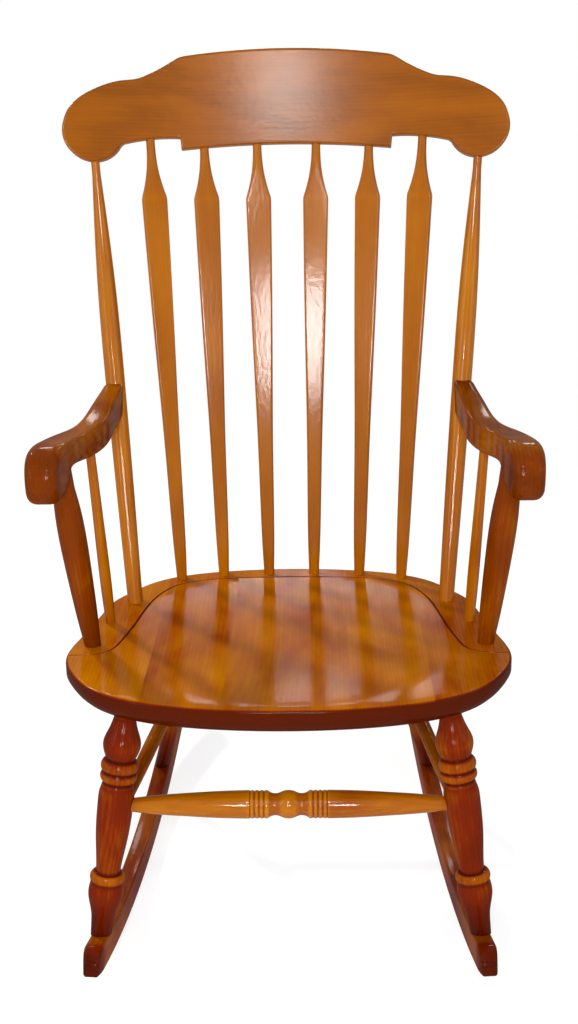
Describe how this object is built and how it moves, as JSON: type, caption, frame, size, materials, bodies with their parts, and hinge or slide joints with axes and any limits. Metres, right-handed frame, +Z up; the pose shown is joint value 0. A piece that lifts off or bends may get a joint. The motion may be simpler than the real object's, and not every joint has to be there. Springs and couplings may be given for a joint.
{
  "type": "rocking chair",
  "caption": "Arrow-back wooden rocking chair with a dished seat, shaped crest rail, scrolled arms, turned legs and bent rockers.",
  "frame": {"origin": "on the floor, in the chair's middle plane, halfway between the front and rear tips of the rockers", "axes": "+Z up; the sitter looks along -Y; +X is on the right in a view from the front, and X = 0 is the middle plane"},
  "size_m": [0.6262, 0.748, 1.1113],
  "materials": {
    "seat_wood": "glossy clear lacquer over honey-stained maple",
    "back_wood": "glossy clear lacquer over honey-stained maple",
    "arm_wood": "glossy clear lacquer over brown-stained maple",
    "base_wood": "glossy clear lacquer over brown-stained maple",
    "dowel_wood": "plain birch dowel"
  },
  "bodies": {
    "root": {"arrow_slat_1": "back_wood", "arrow_slat_2": "back_wood", "arrow_slat_3": "back_wood", "arrow_slat_4": "back_wood", "arrow_slat_5": "back_wood", "arrow_slat_6": "back_wood", "crest_rail": "back_wood", "front_left_leg": "base_wood", "front_right_leg": "base_wood", "front_stretcher": "base_wood", "left_arm": "arm_wood", "left_arm_dowel": "dowel_wood", "left_arm_post": "arm_wood", "left_arm_spindle": "arm_wood", "left_back_post": "arm_wood", "left_rocker": "base_wood", "left_side_stretcher": "base_wood", "rear_left_leg": "base_wood", "rear_right_leg": "base_wood", "rear_stretcher": "base_wood", "right_arm": "arm_wood", "right_arm_dowel": "dowel_wood", "right_arm_post": "arm_wood", "right_arm_spindle": "arm_wood", "right_back_post": "arm_wood", "right_rocker": "base_wood", "right_side_stretcher": "base_wood", "seat_board_1": "seat_wood", "seat_board_2": "seat_wood", "seat_board_3": "seat_wood", "seat_board_4": "seat_wood", "seat_board_5": "seat_wood"}
  },
  "joints": []
}
